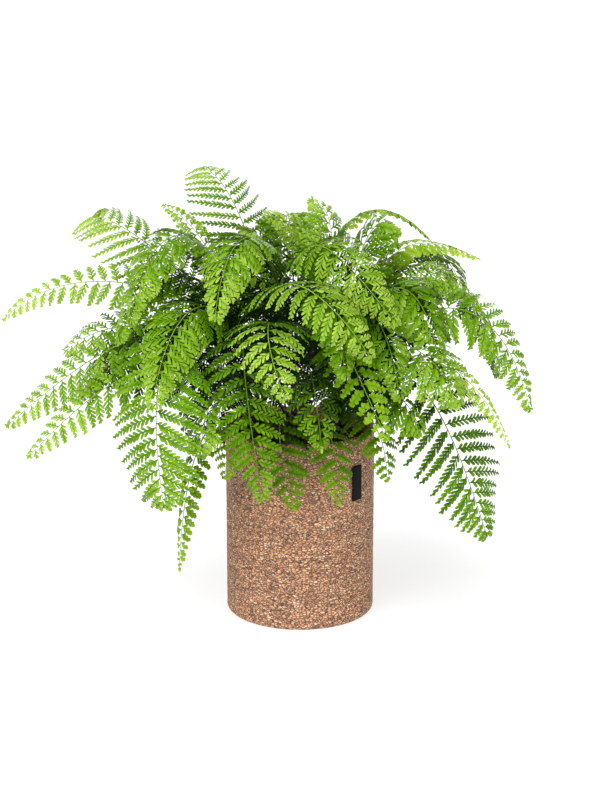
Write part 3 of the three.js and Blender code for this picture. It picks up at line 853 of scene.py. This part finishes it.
def rounded_profile():
    """The planter's outline of [radius, height]: foot, wall, rounded rim, inside wall and floor."""

    def arc(centre_radius, centre_height, size, start, end, steps):
        """Points on a circle between two turns: its centre plus its size by cosine and sine."""
        turn = np.linspace(start, end, steps)
        return np.stack((centre_radius + size * np.cos(turn), centre_height + size * np.sin(turn)), -1)

    inside = POT_RADIUS - WALL
    foot = arc(POT_RADIUS - FOOT_ROUND, FOOT_ROUND, FOOT_ROUND, -np.pi / 2, 0, 9)
    rise = np.linspace(FOOT_ROUND, POT_HEIGHT - RIM_ROUND, 70)[1:-1]
    wall = np.stack((np.full(len(rise), POT_RADIUS), rise), -1)
    rim = arc(POT_RADIUS - RIM_ROUND, POT_HEIGHT - RIM_ROUND, RIM_ROUND, 0, np.pi / 2, 7)
    inner = arc(inside + INNER_ROUND, POT_HEIGHT - INNER_ROUND, INNER_ROUND, np.pi / 2, np.pi, 5)
    down = np.stack((np.full(24, inside), np.linspace(POT_HEIGHT - 6, FLOOR, 24)), -1)
    return np.concatenate((foot, wall, rim, inner, down))


def lathe_triangles(rings, sides):
    """Triangles of a turned body, closed by a fan round a point at each end; the two points come last."""
    side = np.arange(sides)
    after = (side + 1) % sides
    low, high = rings * sides, rings * sides + 1
    top = (rings - 1) * sides
    first = np.stack((np.full(sides, low), after, side), -1)
    last = np.stack((np.full(sides, high), side + top, after + top), -1)
    return np.concatenate((round_wall(rings, sides), first, last))


def waves(x, y, z, rng, count, size):
    """Uneven ground: the mean of sines of random heading over the three coordinates, each about size long."""
    heading = unit(rng.normal(size=(count, 3))) * 2 * np.pi / (size * rng.uniform(0.6, 1.6, (count, 1)))
    phase = rng.uniform(0, 2 * np.pi, count)
    return np.sin(np.stack((x, y, z), -1) @ heading.T + phase).mean(-1) * 1.6


def stone_planter():
    """The planter turned in fine steps, its outer wall pressed in a little and unevenly, never out."""
    rng = np.random.default_rng(3)
    profile = rounded_profile()
    sides = 216
    turn = turns(sides)
    radius, height = profile[:, :1], profile[:, 1:]
    x, y = radius * np.cos(turn), radius * np.sin(turn)
    z = np.broadcast_to(height, x.shape)
    outer = ease(radius, POT_RADIUS - 4, POT_RADIUS) * ease(height, 0, 8)
    dent = outer * (DENT + DENT * np.clip(waves(x, y, z * 2, rng, 24, 12), -1, 1))
    scale = 1 - dent / np.maximum(radius, 1)
    corners = np.stack((x * scale, y * scale, z), -1).reshape(-1, 3)
    corners = np.concatenate((corners, ((0, 0, 0), (0, 0, FLOOR))))
    triangles = lathe_triangles(len(profile), sides)
    return new_piece("stone_planter", corners, triangles, STONE, "planter", "planter", smooth=True)


def plain_plate():
    """The bare plate: a grid wrapped round the wall, its corners round and its face lower at the edges."""
    rows, columns = 48, 16
    u = np.linspace(-1, 1, columns)
    v = np.linspace(-1, 1, rows)
    u, v = np.meshgrid(u, v)
    corner = 1.6
    half_wide, half_high = PLATE_WIDTH / 2, PLATE_HEIGHT / 2
    # Near a corner, places are pulled in along the circle that rounds it
    over = np.maximum(np.abs(v) * half_high - (half_high - corner), 0)
    allowed = half_wide - corner + np.sqrt(np.maximum(corner**2 - over**2, 0))
    across = u * allowed
    up = v * half_high
    rim = np.minimum(allowed - np.abs(across), half_high - np.abs(up))
    outer = PLATE_THICKNESS - 0.35 * (1 - ease(rim, 0, 0.8))
    faces = []
    for depth in (outer, np.zeros_like(outer)):
        radius = POT_RADIUS + GAP + depth
        angle = PLATE_TURN + across / POT_RADIUS
        faces.append(round_places(radius, angle, PLATE_TOP - half_high + up).reshape(-1, 3))
    corners = np.concatenate(faces)
    index = np.arange(rows * columns).reshape(rows, columns)
    front = halved(index[:-1, :-1], index[:-1, 1:], index[1:, 1:], index[1:, :-1])
    back = front[:, ::-1] + rows * columns
    loop = np.concatenate((index[0, :-1], index[:-1, -1], index[-1, :0:-1], index[:0:-1, 0]))
    after = np.roll(loop, -1)
    deep = rows * columns
    side = np.stack((loop, loop + deep, after + deep), -1)
    wall = np.concatenate((side, np.stack((loop, after + deep, after), -1)))
    triangles = np.concatenate((front, back, wall))
    tone = np.full(len(corners), 0.3)
    return new_piece("plain_plate", corners, triangles, PLATE, "plate", "plate", smooth=True, tone=tone)


# A crumb: twenty triangles on twelve corners, one above, one below and five round each between them
CRUMB = np.array(
    [(0, 0, 1), (0.9, 0, 0.4), (0.28, 0.85, 0.4), (-0.72, 0.53, 0.4), (-0.72, -0.53, 0.4), (0.28, -0.85, 0.4)]
    + [(0.72, 0.53, -0.4), (-0.28, 0.85, -0.4), (-0.9, 0, -0.4), (-0.28, -0.85, -0.4), (0.72, -0.53, -0.4)]
    + [(0, 0, -1)]
)
CRUMB_FACES = np.array(
    [(0, i, i % 5 + 1) for i in range(1, 6)]
    + [(i, i + 5, i % 5 + 1) for i in range(1, 6)]
    + [(i % 5 + 1, i + 5, i % 5 + 6) for i in range(1, 6)]
    + [(i + 5, 11, i % 5 + 6) for i in range(1, 6)]
)


def soil_bed():
    """Soil: a turned bed with an uneven top, and crumbs strewn evenly, by the square root of an even draw."""
    rng = np.random.default_rng(5)
    outer = POT_RADIUS - WALL - GAP
    rings, sides = 44, 150
    way = np.linspace(1, 1 / rings, rings)
    turn = turns(sides)
    x, y = outer * way[:, None] * np.cos(turn), outer * way[:, None] * np.sin(turn)
    slope = SOIL_TOP - SOIL_SIDE_DROP * np.hypot(x, y) / outer
    rough = waves(x, y, 0 * x, rng, 30, 11) + 0.7 * waves(x, y, 0 * x, rng, 40, 4.5)
    z = slope - 1.4 + 1.1 * np.clip(rough, -1.1, 1.1)
    top = np.stack((x, y, z), -1)
    foot = np.stack((x[0], y[0], np.full(sides, FLOOR + GAP)), -1)[None]
    corners = np.concatenate((foot, top)).reshape(-1, 3)
    corners = np.concatenate((corners, ((0, 0, FLOOR + GAP), (0, 0, SOIL_TOP - 1.2))))
    bed = plain_part(corners, lathe_triangles(rings + 1, sides), True, np.full(len(corners), 0.25))
    count = CRUMB_COUNT
    out = (outer - 4) * np.sqrt(rng.uniform(0, 1, count))
    angle = rng.uniform(0, 2 * np.pi, count)
    size = rng.uniform(0.7, 2.3, count) ** 1.3
    level = SOIL_TOP - SOIL_SIDE_DROP * out / outer - 1.4
    place = round_places(out, angle, level)
    axes = np.linalg.qr(rng.normal(size=(count, 3, 3)))[0]
    axes *= np.sign(np.linalg.det(axes))[:, None, None]
    shape = CRUMB * rng.uniform(0.75, 1.25, (count, len(CRUMB), 1)) * rng.uniform(0.5, 1, (count, 1, 3))
    shape = shape * size[:, None, None]
    crumbs = place[:, None] + shape @ axes
    crumbs[..., 2] = np.minimum(crumbs[..., 2], SOIL_TOP + 1)
    faces = (np.arange(count)[:, None, None] * len(CRUMB) + CRUMB_FACES).reshape(-1, 3)
    tone = np.repeat(rng.uniform(0, 0.8, count), len(CRUMB))
    strewn = plain_part(crumbs.reshape(-1, 3), faces, False, tone)
    corners, triangles, smooth, tone, _ = joined([bed, strewn])
    return new_piece("soil_bed", corners, triangles, SOIL, "soil", "soil", smooth=smooth, tone=tone)


def crown_piece(name, fronds, rng):
    """A rhizome clothed in narrow scales, with the dark stalks of its fronds standing out of it."""
    x, y = CROWNS[name]
    sides, rings = 28, 18
    turn = turns(sides)
    height = np.linspace(SOIL_TOP - RHIZOME_BELOW + 1, SOIL_TOP + RHIZOME_ABOVE - 0.8, rings)
    rise = (height - height[0]) / (height[-1] - height[0])
    girth = RHIZOME_RADIUS * np.sqrt(np.clip(1 - (2 * rise - 0.9) ** 2 * 0.8, 0.05, 1)) * 0.93
    lump = 1 + 0.06 * np.sin(3 * turn + rng.uniform(0, 6)) + 0.04 * np.sin(7 * turn + 9 * rise[:, None])
    out = girth[:, None] * lump
    level = np.tile(height[:, None], sides)
    body = (round_places(out, turn, level) + (x, y, 0)).reshape(-1, 3)
    body = np.concatenate((body, ((x, y, height[0]), (x, y, height[-1] + 0.6))))
    parts = [plain_part(body, lathe_triangles(rings, sides), True, rng.uniform(0, 0.5, len(body)))]

    # Scales lie up the rhizome's shoulder, each a narrow lobe that points up and a little out
    count = SCALE_COUNT
    angle = rng.uniform(0, 2 * np.pi, count)
    level = rng.uniform(0.55, 0.97, count)
    out = np.interp(level, rise, girth)
    place = round_places(out, angle, np.interp(level, rise, height)) + (x, y, 0)
    away = round_places(1, angle, np.zeros(count))
    inward = ease(level, 0.6, 1)[:, None]
    direction = unit(np.array((0, 0, 1.0)) - away * (0.9 * inward - 0.25) + rng.normal(0, 0.18, (count, 3)))
    normal = unit(away - (away * direction).sum(-1, keepdims=True) * direction)
    length = rng.uniform(3, 5.5, count)
    width = rng.uniform(1, 1.7, count)
    corners, triangles = lobes(place, direction, normal, length, width, STRAP_LOBE)
    corners[:, 2] = np.minimum(corners[:, 2], SOIL_TOP + RHIZOME_ABOVE + 2)
    tone = np.repeat(rng.uniform(0.1, 1, count), len(STRAP_LOBE[0]))
    parts.append(plain_part(corners, triangles, False, tone))

    # Stalks, thicker and darker at the foot
    for frond in fronds:
        share = np.linspace(0, 1, STALK_RINGS)
        place, forward, _, up = frames(frond, share * (frond.foot - GAP / frond.length))
        radius = STIPE_RADIUS * (1.15 - 0.32 * ease(share, 0, 0.4)) * (0.8 if frond.kind == "young" else 1)
        stalk = tubes(place, forward, up, radius, radius, STALK_SIDES).reshape(-1, 3)
        tone = np.repeat(0.15 + 0.35 * share, STALK_SIDES)
        parts.append(plain_part(stalk, tube_triangles(STALK_RINGS, STALK_SIDES), True, tone))
    corners, triangles, smooth, tone, _ = joined(parts)
    node = f"crown_{name}"
    return new_piece(f"{node}_stalks", corners, triangles, STALK, node, "crown", smooth=smooth, tone=tone)


stone_planter()
plain_plate()
soil_bed()

rows = [*FRONDS, *back_rows()]
plant = [bent_like_solid(row, f"frond_{number:02d}") for number, row in enumerate(rows, 1)]
for number, frond in enumerate(plant, 1):
    frond.full = number >= WITHIN and frond.kind == "fine"
    vars(frond.cut).update(LIVING.get(number, {}))
draws = [np.random.default_rng(100 + number) for number in range(len(plant))]
leaves = [leaflets(frond, rng) for frond, rng in zip(plant, draws)]
for number, (frond, leaf, covered, rng) in enumerate(zip(plant, leaves, painted_cover_shade(leaves), draws), 1):
    node, slot = f"frond_{number:02d}", f"frond_{frond.kind}"
    parts = blade_parts(number, frond, leaf, covered, rng)
    corners, triangles, smooth, tone, dark = joined(parts)
    green = LEAF[frond.kind]
    new_piece(f"fern_{node}", corners, triangles, green, node, slot, smooth=smooth, tone=tone, dark=dark)
for order, name in enumerate(CROWNS):
    crown_piece(name, [frond for frond in plant if frond.crown == name], np.random.default_rng(40 + order))


# Floor, light and camera, in metres

CAMERA_PLACE = (0, -2.3, 0.891)
CAMERA_DOWN = 14.66
LENS = 80.24
# Soft lights: where each stands, what it faces, and its power
LIGHT_SIZE = 1.2
SOFT_LIGHTS = {
    "side": ((1.9, -2.1, 0.9), (0, 0, 0.25), 24),
    "front": ((-1.7, -2.2, 1.1), (0, 0, 0.25), 26),
    "back": ((0.5, 2.6, 1.5), (0, 0, 0.35), 20),
}


def stage_floor():
    """A wide pale floor that runs past the picture's edges."""
    mesh = bpy.data.meshes.new("floor")
    half = 40.0
    corners = [(-half, -half, 0), (half, -half, 0), (half, half, 0), (-half, half, 0)]
    mesh.from_pydata(corners, [], [(0, 1, 2, 3)])
    material, add, _ = new_material("pale floor")
    surface = add("BsdfPrincipled", {
        "Base Color": (0.38, 0.38, 0.38, 1),
        "Roughness": 0.9,
        "Specular IOR Level": 0.1,
        "Emission Color": (1, 1, 1, 1),
        "Emission Strength": 0.72,
    })
    add("OutputMaterial", {"Surface": surface.outputs[0]})
    mesh.materials.append(material)
    floor = linked("floor", mesh)


def turn_to(right, up, back):
    """The turn whose axes are right, up and back, as Euler angles."""
    return Matrix((right, up, back)).transposed().to_euler()


def area_light(name, place, target, power):
    """A square soft light at a place, turned to a target."""
    lamp = bpy.data.lights.new(name, "AREA")
    lamp.size = LIGHT_SIZE
    lamp.energy = power
    light = linked(name, lamp)
    light.location = place
    back = -unit(np.array(target, float) - np.array(place, float))
    right = unit(np.cross((0, 0, 1.0), back))
    light.rotation_euler = turn_to(right, np.cross(back, right), back)


def studio_walls():
    """White walls all round, up from the floor's far edge, and above them a dim ceiling of soft light."""
    world = bpy.data.worlds.new("studio")
    bpy.context.scene.world = world
    world.use_nodes = True
    tree = world.node_tree
    direction = tree.nodes.new("ShaderNodeTexCoord").outputs["Generated"]
    height = tree.nodes.new("ShaderNodeSeparateXYZ")
    tree.links.new(direction, height.inputs[0])
    ramp = tree.nodes.new("ShaderNodeValToRGB")
    tree.links.new(height.outputs["Z"], ramp.inputs["Fac"])
    for element, (at, grey) in zip(ramp.color_ramp.elements, ((0.14, 1.0), (0.3, 0.1))):
        element.position = at
        element.color = (grey, grey, grey, 1)
    tree.links.new(ramp.outputs["Color"], tree.nodes["Background"].inputs["Color"])


def overhead_light():
    """A wide soft light from above, a little from the front and the left."""
    lamp = bpy.data.lights.new("overhead", "SUN")
    lamp.energy = 3.3
    lamp.angle = math.radians(46)
    light = linked("overhead", lamp)
    light.rotation_euler = (math.radians(22), math.radians(-14), 0)


def front_camera():
    """The photograph's view: from a little above the plant and tipped down, through a long lens."""
    lens = bpy.data.cameras.new("camera")
    lens.lens = LENS
    camera = linked("camera", lens)
    camera.location = CAMERA_PLACE
    camera.rotation_euler = (math.radians(90 - CAMERA_DOWN), 0, 0)
    bpy.context.scene.camera = camera


stage_floor()
overhead_light()
for name, (place, target, power) in SOFT_LIGHTS.items():
    area_light(name, place, target, power)
studio_walls()
front_camera()
bpy.context.scene.view_settings.view_transform = "Standard"
